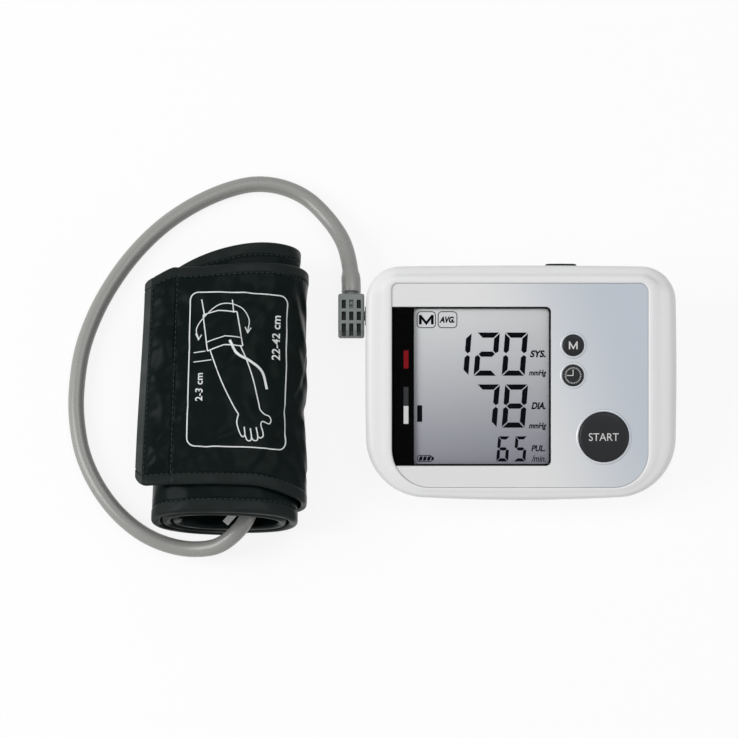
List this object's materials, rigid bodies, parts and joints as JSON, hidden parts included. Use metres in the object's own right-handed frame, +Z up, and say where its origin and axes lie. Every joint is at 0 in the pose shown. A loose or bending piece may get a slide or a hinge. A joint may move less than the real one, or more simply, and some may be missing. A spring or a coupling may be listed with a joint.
{
  "type": "blood pressure monitor",
  "caption": "Desk-top blood pressure monitor with sloping display panel and push buttons, joined by an air hose to its rolled upper-arm cuff.",
  "frame": {"origin": "on the table, under the middle of the box round monitor and cuff", "axes": "+X from the cuff to the monitor, as the user sees them, +Y to the rear, +Z up"},
  "size_m": [0.3157, 0.2067, 0.0527],
  "materials": {
    "white_case": "satin gloss moulding",
    "silver_panel": "silver paint under a clear coat",
    "window": "clear hard-coated window",
    "lcd": "segment display",
    "holder": "moulded",
    "button": "fine matt",
    "dark_plastic": "moulded",
    "grey_plastic": "moulded",
    "plug_plastic": "moulded",
    "board": "solder mask",
    "steel": "plated",
    "cell": "printed jacket",
    "dark_rubber": "matt",
    "hose": "satin PVC",
    "clear_tube": "silicone",
    "cuff_cloth": "satin nylon",
    "hook_tape": "hook pile",
    "bladder": "welded film",
    "tag": "woven ribbon"
  },
  "bodies": {
    "monitor": {"top_housing": "white_case", "bottom_housing": "white_case", "front_panel": "silver_panel", "display_window": "window", "lcd_glass": "lcd", "lcd_holder": "holder", "lcd_connector": "dark_plastic", "circuit_board": "board", "start_switch": "dark_plastic", "memory_switch": "dark_plastic", "clock_switch": "dark_plastic", "buzzer": "dark_plastic", "control_chip": "dark_plastic", "pressure_sensor": "dark_plastic", "cell_1": "cell", "spring_contact_1": "steel", "flat_contact_1": "steel", "cell_2": "cell", "spring_contact_2": "steel", "flat_contact_2": "steel", "cell_3": "cell", "spring_contact_3": "steel", "flat_contact_3": "steel", "cell_4": "cell", "spring_contact_4": "steel", "flat_contact_4": "steel", "foot_front_left": "dark_rubber", "foot_rear_left": "dark_rubber", "foot_front_right": "dark_rubber", "foot_rear_right": "dark_rubber", "case_screw_front_left": "steel", "case_screw_rear_left": "steel", "case_screw_front_right": "steel", "case_screw_rear_right": "steel", "air_socket": "grey_plastic", "air_manifold": "dark_plastic", "release_valve": "steel", "socket_tube": "clear_tube", "pump_tube": "clear_tube", "pump_head": "dark_plastic", "pump_motor": "steel", "power_socket": "dark_plastic"},
    "start_button": {"start_button": "button"},
    "memory_button": {"memory_button": "button"},
    "clock_button": {"clock_button": "button"},
    "battery_door": {"battery_door": "white_case"},
    "rear_port_cover": {"rear_port_cover": "dark_rubber"},
    "cuff_set": {"cuff_flap": "cuff_cloth", "cuff_sleeve": "cuff_cloth", "air_bladder": "bladder", "hook_tape": "hook_tape", "hose_port": "dark_plastic", "care_tag": "tag", "plug_body": "plug_plastic", "plug_nozzle": "plug_plastic", "air_hose": "hose"}
  },
  "joints": [
    {"name": "start_press", "type": "slide", "parent": "monitor", "child": "start_button", "axis": [0, 0.2756, -0.9613], "range_m": [0, 0.0009], "stiffness_N_per_m": 1200, "springref_m": -0.0012},
    {"name": "memory_press", "type": "slide", "parent": "monitor", "child": "memory_button", "axis": [0, 0.2756, -0.9613], "range_m": [0, 0.0009], "stiffness_N_per_m": 900, "springref_m": -0.0012},
    {"name": "clock_press", "type": "slide", "parent": "monitor", "child": "clock_button", "axis": [0, 0.2756, -0.9613], "range_m": [0, 0.0009], "stiffness_N_per_m": 900, "springref_m": -0.0012},
    {"name": "battery_door_slide", "type": "slide", "parent": "monitor", "child": "battery_door", "axis": [0, 1, 0], "range_m": [0, 0.06]},
    {"name": "rear_cover_hinge", "type": "hinge", "parent": "monitor", "child": "rear_port_cover", "pos_m": [0.0804, 0.06039, 0.03326], "axis": [-1, 0, 0], "range_deg": [0, 100]},
    {"name": "hose_plug_slide", "type": "slide", "parent": "monitor", "child": "cuff_set", "axis": [-1, 0, 0], "range_m": [0, 0.015]}
  ]
}
